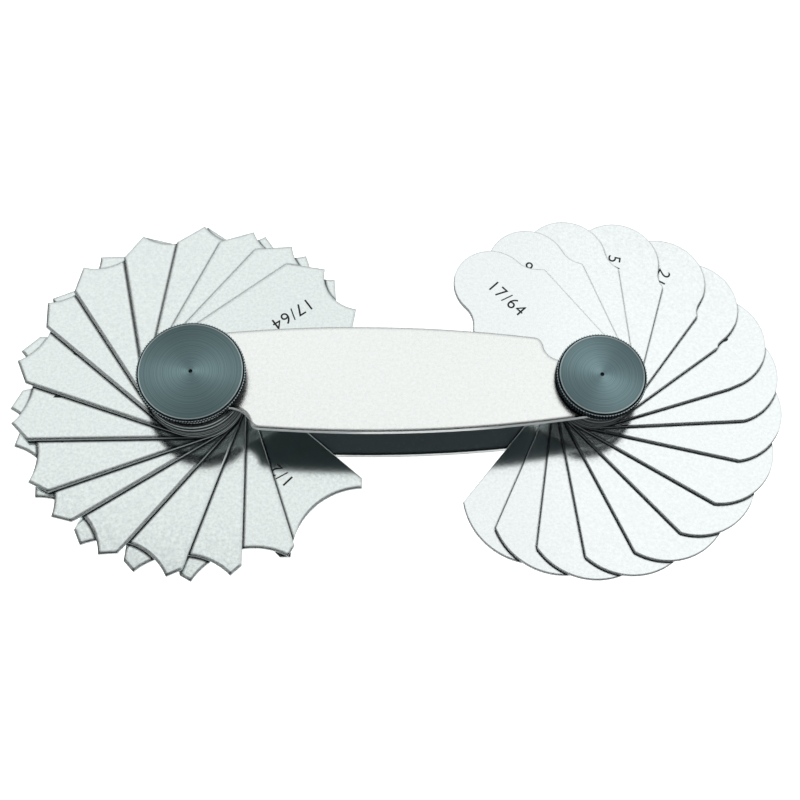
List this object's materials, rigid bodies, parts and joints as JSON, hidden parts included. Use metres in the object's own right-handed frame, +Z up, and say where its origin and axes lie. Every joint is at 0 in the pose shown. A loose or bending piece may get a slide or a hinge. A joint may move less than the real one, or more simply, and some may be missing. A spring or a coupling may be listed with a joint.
{
  "type": "radius gauge",
  "caption": "Radius gauge: thin concave and convex radius leaves fanned out from the two ends of a bowed open holder, each stack under a knurled lock nut",
  "frame": {"origin": "on the underside of the bottom plate, midway between the two studs, the face the closed or open gauge lies on", "axes": "+X runs from the stud of the concave leaves to the stud of the convex leaves, +Z points up out of the lock nuts, +Y completes the right-handed frame"},
  "size_m": [0.1362, 0.0662, 0.015],
  "materials": {
    "leaf_steel": "satin ground gauge steel with a faint mottled grain",
    "holder_steel": "satin rolled steel plate",
    "nut_steel": "grey-blue turned face with a fine diamond knurl round the side",
    "stud_steel": "plain turned steel"
  },
  "bodies": {
    "holder": {"bottom_plate": "holder_steel", "top_plate": "holder_steel", "left_stud": "stud_steel", "right_stud": "stud_steel"},
    "left_lock_nut": {"left_lock_nut": "nut_steel"},
    "right_lock_nut": {"right_lock_nut": "nut_steel"},
    "concave_17_64": {"concave_17_64": "leaf_steel"},
    "convex_17_64": {"convex_17_64": "leaf_steel"},
    "concave_9_32": {"concave_9_32": "leaf_steel"},
    "convex_9_32": {"convex_9_32": "leaf_steel"},
    "concave_19_64": {"concave_19_64": "leaf_steel"},
    "convex_19_64": {"convex_19_64": "leaf_steel"},
    "concave_5_16": {"concave_5_16": "leaf_steel"},
    "convex_5_16": {"convex_5_16": "leaf_steel"},
    "concave_21_64": {"concave_21_64": "leaf_steel"},
    "convex_21_64": {"convex_21_64": "leaf_steel"},
    "concave_11_32": {"concave_11_32": "leaf_steel"},
    "convex_11_32": {"convex_11_32": "leaf_steel"},
    "concave_23_64": {"concave_23_64": "leaf_steel"},
    "convex_23_64": {"convex_23_64": "leaf_steel"},
    "concave_3_8": {"concave_3_8": "leaf_steel"},
    "convex_3_8": {"convex_3_8": "leaf_steel"},
    "concave_25_64": {"concave_25_64": "leaf_steel"},
    "convex_25_64": {"convex_25_64": "leaf_steel"},
    "concave_13_32": {"concave_13_32": "leaf_steel"},
    "convex_13_32": {"convex_13_32": "leaf_steel"},
    "concave_27_64": {"concave_27_64": "leaf_steel"},
    "convex_27_64": {"convex_27_64": "leaf_steel"},
    "concave_7_16": {"concave_7_16": "leaf_steel"},
    "convex_7_16": {"convex_7_16": "leaf_steel"},
    "concave_29_64": {"concave_29_64": "leaf_steel"},
    "convex_29_64": {"convex_29_64": "leaf_steel"},
    "concave_15_32": {"concave_15_32": "leaf_steel"},
    "convex_15_32": {"convex_15_32": "leaf_steel"},
    "concave_31_64": {"concave_31_64": "leaf_steel"},
    "convex_31_64": {"convex_31_64": "leaf_steel"},
    "concave_1_2": {"concave_1_2": "leaf_steel"},
    "convex_1_2": {"convex_1_2": "leaf_steel"}
  },
  "joints": [
    {"name": "left_nut_turn", "type": "hinge", "parent": "holder", "child": "left_lock_nut", "pos_m": [-0.0353, 0, 0.0122], "axis": [0, 0, 1], "range_deg": [0, 180]},
    {"name": "right_nut_turn", "type": "hinge", "parent": "holder", "child": "right_lock_nut", "pos_m": [0.0353, 0, 0.0122], "axis": [0, 0, 1], "range_deg": [0, 180]},
    {"name": "concave_17_64_swing", "type": "hinge", "parent": "holder", "child": "concave_17_64", "pos_m": [-0.0353, 0, 0.01084], "axis": [0, 0, 1], "range_deg": [-35.4, 324.6]},
    {"name": "convex_17_64_swing", "type": "hinge", "parent": "holder", "child": "convex_17_64", "pos_m": [0.0353, 0, 0.01084], "axis": [0, 0, 1], "range_deg": [-313.6, 46.4]},
    {"name": "concave_9_32_swing", "type": "hinge", "parent": "holder", "child": "concave_9_32", "pos_m": [-0.0353, 0, 0.01021], "axis": [0, 0, 1], "range_deg": [-49.2, 310.8]},
    {"name": "convex_9_32_swing", "type": "hinge", "parent": "holder", "child": "convex_9_32", "pos_m": [0.0353, 0, 0.01021], "axis": [0, 0, 1], "range_deg": [-296.2, 63.8]},
    {"name": "concave_19_64_swing", "type": "hinge", "parent": "holder", "child": "concave_19_64", "pos_m": [-0.0353, 0, 0.00957], "axis": [0, 0, 1], "range_deg": [-63.1, 296.9]},
    {"name": "convex_19_64_swing", "type": "hinge", "parent": "holder", "child": "convex_19_64", "pos_m": [0.0353, 0, 0.00957], "axis": [0, 0, 1], "range_deg": [-280.2, 79.8]},
    {"name": "concave_5_16_swing", "type": "hinge", "parent": "holder", "child": "concave_5_16", "pos_m": [-0.0353, 0, 0.00894], "axis": [0, 0, 1], "range_deg": [-79.3, 280.7]},
    {"name": "convex_5_16_swing", "type": "hinge", "parent": "holder", "child": "convex_5_16", "pos_m": [0.0353, 0, 0.00894], "axis": [0, 0, 1], "range_deg": [-259.1, 100.9]},
    {"name": "concave_21_64_swing", "type": "hinge", "parent": "holder", "child": "concave_21_64", "pos_m": [-0.0353, 0, 0.0083], "axis": [0, 0, 1], "range_deg": [-99.4, 260.6]},
    {"name": "convex_21_64_swing", "type": "hinge", "parent": "holder", "child": "convex_21_64", "pos_m": [0.0353, 0, 0.0083], "axis": [0, 0, 1], "range_deg": [-239.3, 120.7]},
    {"name": "concave_11_32_swing", "type": "hinge", "parent": "holder", "child": "concave_11_32", "pos_m": [-0.0353, 0, 0.00767], "axis": [0, 0, 1], "range_deg": [-121, 239]},
    {"name": "convex_11_32_swing", "type": "hinge", "parent": "holder", "child": "convex_11_32", "pos_m": [0.0353, 0, 0.00767], "axis": [0, 0, 1], "range_deg": [-222.7, 137.3]},
    {"name": "concave_23_64_swing", "type": "hinge", "parent": "holder", "child": "concave_23_64", "pos_m": [-0.0353, 0, 0.00703], "axis": [0, 0, 1], "range_deg": [-136.9, 223.1]},
    {"name": "convex_23_64_swing", "type": "hinge", "parent": "holder", "child": "convex_23_64", "pos_m": [0.0353, 0, 0.00703], "axis": [0, 0, 1], "range_deg": [-203.7, 156.3]},
    {"name": "concave_3_8_swing", "type": "hinge", "parent": "holder", "child": "concave_3_8", "pos_m": [-0.0353, 0, 0.0064], "axis": [0, 0, 1], "range_deg": [-158.1, 201.9]},
    {"name": "convex_3_8_swing", "type": "hinge", "parent": "holder", "child": "convex_3_8", "pos_m": [0.0353, 0, 0.0064], "axis": [0, 0, 1], "range_deg": [-189.2, 170.8]},
    {"name": "concave_25_64_swing", "type": "hinge", "parent": "holder", "child": "concave_25_64", "pos_m": [-0.0353, 0, 0.00576], "axis": [0, 0, 1], "range_deg": [-178.5, 181.5]},
    {"name": "convex_25_64_swing", "type": "hinge", "parent": "holder", "child": "convex_25_64", "pos_m": [0.0353, 0, 0.00576], "axis": [0, 0, 1], "range_deg": [-173, 187]},
    {"name": "concave_13_32_swing", "type": "hinge", "parent": "holder", "child": "concave_13_32", "pos_m": [-0.0353, 0, 0.00513], "axis": [0, 0, 1], "range_deg": [-198.1, 161.9]},
    {"name": "convex_13_32_swing", "type": "hinge", "parent": "holder", "child": "convex_13_32", "pos_m": [0.0353, 0, 0.00513], "axis": [0, 0, 1], "range_deg": [-154, 206]},
    {"name": "concave_27_64_swing", "type": "hinge", "parent": "holder", "child": "concave_27_64", "pos_m": [-0.0353, 0, 0.00449], "axis": [0, 0, 1], "range_deg": [-210.7, 149.3]},
    {"name": "convex_27_64_swing", "type": "hinge", "parent": "holder", "child": "convex_27_64", "pos_m": [0.0353, 0, 0.00449], "axis": [0, 0, 1], "range_deg": [-137.5, 222.5]},
    {"name": "concave_7_16_swing", "type": "hinge", "parent": "holder", "child": "concave_7_16", "pos_m": [-0.0353, 0, 0.00386], "axis": [0, 0, 1], "range_deg": [-228.8, 131.2]},
    {"name": "convex_7_16_swing", "type": "hinge", "parent": "holder", "child": "convex_7_16", "pos_m": [0.0353, 0, 0.00386], "axis": [0, 0, 1], "range_deg": [-120.1, 239.9]},
    {"name": "concave_29_64_swing", "type": "hinge", "parent": "holder", "child": "concave_29_64", "pos_m": [-0.0353, 0, 0.00322], "axis": [0, 0, 1], "range_deg": [-249.6, 110.4]},
    {"name": "convex_29_64_swing", "type": "hinge", "parent": "holder", "child": "convex_29_64", "pos_m": [0.0353, 0, 0.00322], "axis": [0, 0, 1], "range_deg": [-103.4, 256.6]},
    {"name": "concave_15_32_swing", "type": "hinge", "parent": "holder", "child": "concave_15_32", "pos_m": [-0.0353, 0, 0.00259], "axis": [0, 0, 1], "range_deg": [-267.9, 92.1]},
    {"name": "convex_15_32_swing", "type": "hinge", "parent": "holder", "child": "convex_15_32", "pos_m": [0.0353, 0, 0.00259], "axis": [0, 0, 1], "range_deg": [-87.1, 272.9]},
    {"name": "concave_31_64_swing", "type": "hinge", "parent": "holder", "child": "concave_31_64", "pos_m": [-0.0353, 0, 0.00195], "axis": [0, 0, 1], "range_deg": [-285.3, 74.7]},
    {"name": "convex_31_64_swing", "type": "hinge", "parent": "holder", "child": "convex_31_64", "pos_m": [0.0353, 0, 0.00195], "axis": [0, 0, 1], "range_deg": [-71.9, 288.1]},
    {"name": "concave_1_2_swing", "type": "hinge", "parent": "holder", "child": "concave_1_2", "pos_m": [-0.0353, 0, 0.00132], "axis": [0, 0, 1], "range_deg": [-315.8, 44.2]},
    {"name": "convex_1_2_swing", "type": "hinge", "parent": "holder", "child": "convex_1_2", "pos_m": [0.0353, 0, 0.00132], "axis": [0, 0, 1], "range_deg": [-57.7, 302.3]}
  ]
}
